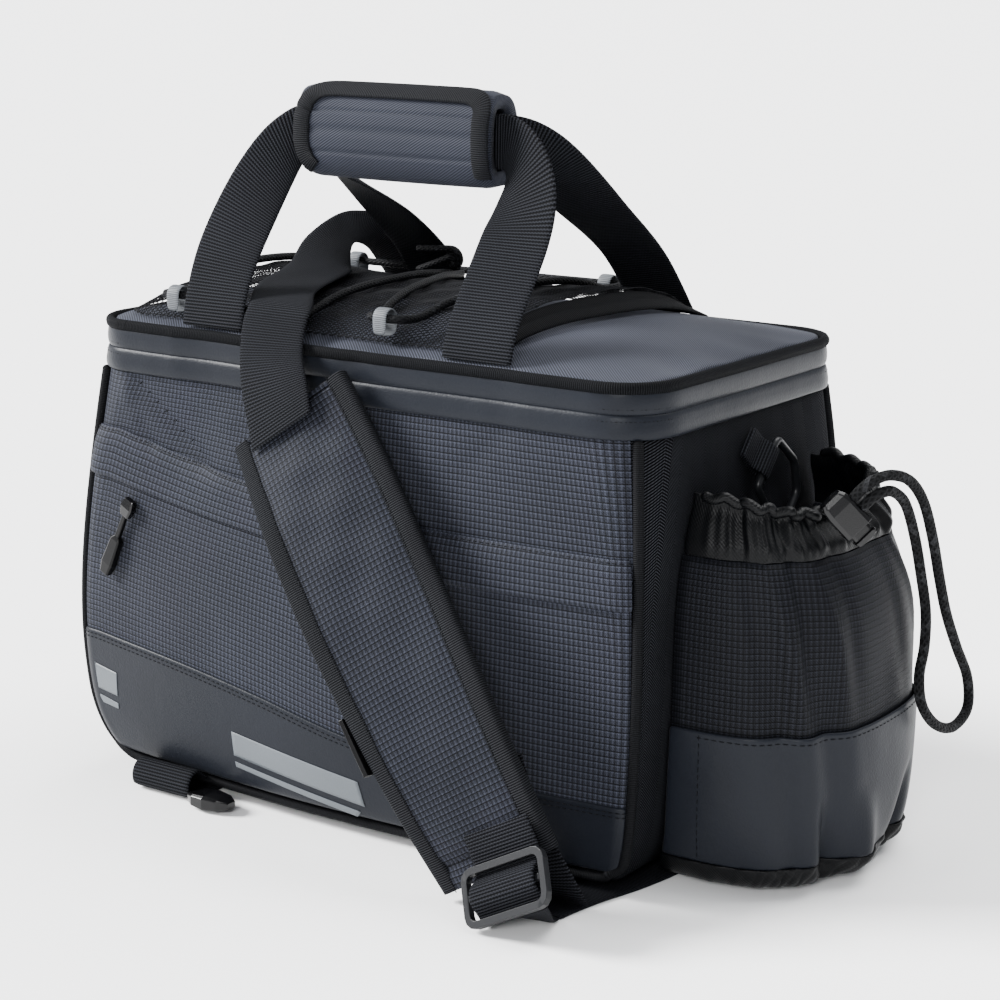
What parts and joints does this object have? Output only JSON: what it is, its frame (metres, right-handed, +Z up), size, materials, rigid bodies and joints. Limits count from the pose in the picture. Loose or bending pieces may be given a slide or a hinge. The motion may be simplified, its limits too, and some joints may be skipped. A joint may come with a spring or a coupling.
{
  "type": "bicycle trunk bag",
  "caption": "Bicycle trunk bag with a crowned mesh-covered lid, a webbing carry handle, an end bottle pocket with a cord lock, and a padded shoulder strap that hangs over the front",
  "frame": {"origin": "Middle of the bag's outer box on the floor that the bag stands on, without the free drawcord of the bottle pocket", "axes": "+Z up, +X along the bag's length towards the bottle pocket, -Y towards the front panel with the shoulder pad"},
  "size_m": [0.4199, 0.2731, 0.349],
  "materials": {
    "ripstop": "charcoal ripstop polyester",
    "twill": "black woven end and back cloth",
    "coated": "matte coated grey cloth",
    "lid_cloth": "plain woven dark cloth",
    "webbing": "ribbed polyester webbing",
    "binding": "black grosgrain binding and piping",
    "net": "black elastic mesh",
    "cord": "braided cord with light flecks",
    "taffeta": "gathered thin black cloth",
    "satin_plastic": "dark satin moulded plastic",
    "gloss_plastic": "black glossy moulded plastic"
  },
  "bodies": {
    "bag": {"back_piping": "binding", "band_lower": "coated", "band_upper": "coated", "bottle_pocket": "ripstop", "bungee_cord": "cord", "bungee_knot": "cord", "cord_lock_body": "gloss_plastic", "cord_loop_back_left": "webbing", "cord_loop_back_right": "webbing", "cord_loop_front_left": "webbing", "cord_loop_front_middle": "webbing", "cord_loop_front_right": "webbing", "front_piping": "binding", "front_pocket": "ripstop", "glide_webbing": "webbing", "handle_back": "webbing", "handle_front": "webbing", "handle_grip": "ripstop", "lid_binding": "binding", "lid_panel": "lid_cloth", "lid_zip": "binding", "lower_trim": "coated", "main_compartment": "twill", "mesh_hem": "binding", "mesh_panel": "net", "pad_binding_left": "binding", "pad_binding_right": "binding", "pocket_cuff": "taffeta", "pocket_drawcord": "cord", "pocket_flap": "ripstop", "pocket_foot": "taffeta", "pocket_lower_panel": "coated", "rack_slide": "satin_plastic", "rack_strap": "webbing", "ring_tab_left": "webbing", "ring_tab_right": "webbing", "shoulder_pad": "ripstop", "strap_back": "webbing", "strap_front": "webbing", "strap_over_lid": "webbing", "strap_tag": "gloss_plastic", "strap_tail": "webbing", "strap_under": "webbing", "tri_glide": "satin_plastic", "zip_pull": "satin_plastic", "zip_slider": "satin_plastic"},
    "ring_right": {"d_ring_right": "satin_plastic"},
    "ring_left": {"d_ring_left": "satin_plastic"},
    "lock_button": {"cord_lock_button": "gloss_plastic"}
  },
  "joints": [
    {"name": "ring_right_swing", "type": "hinge", "parent": "bag", "child": "ring_right", "pos_m": [0.13449, 0.03625, 0.1835], "axis": [0, -0.6691, -0.7431], "range_deg": [0, 150]},
    {"name": "ring_left_swing", "type": "hinge", "parent": "bag", "child": "ring_left", "pos_m": [-0.20131, 0.03625, 0.1835], "axis": [0, 0.6691, 0.7431], "range_deg": [0, 150]},
    {"name": "button_press", "type": "slide", "parent": "bag", "child": "lock_button", "axis": [-0.5713, -0.3909, 0.7217], "range_m": [0, 0.003], "stiffness_N_per_m": 1500, "springref_m": -0.002}
  ]
}
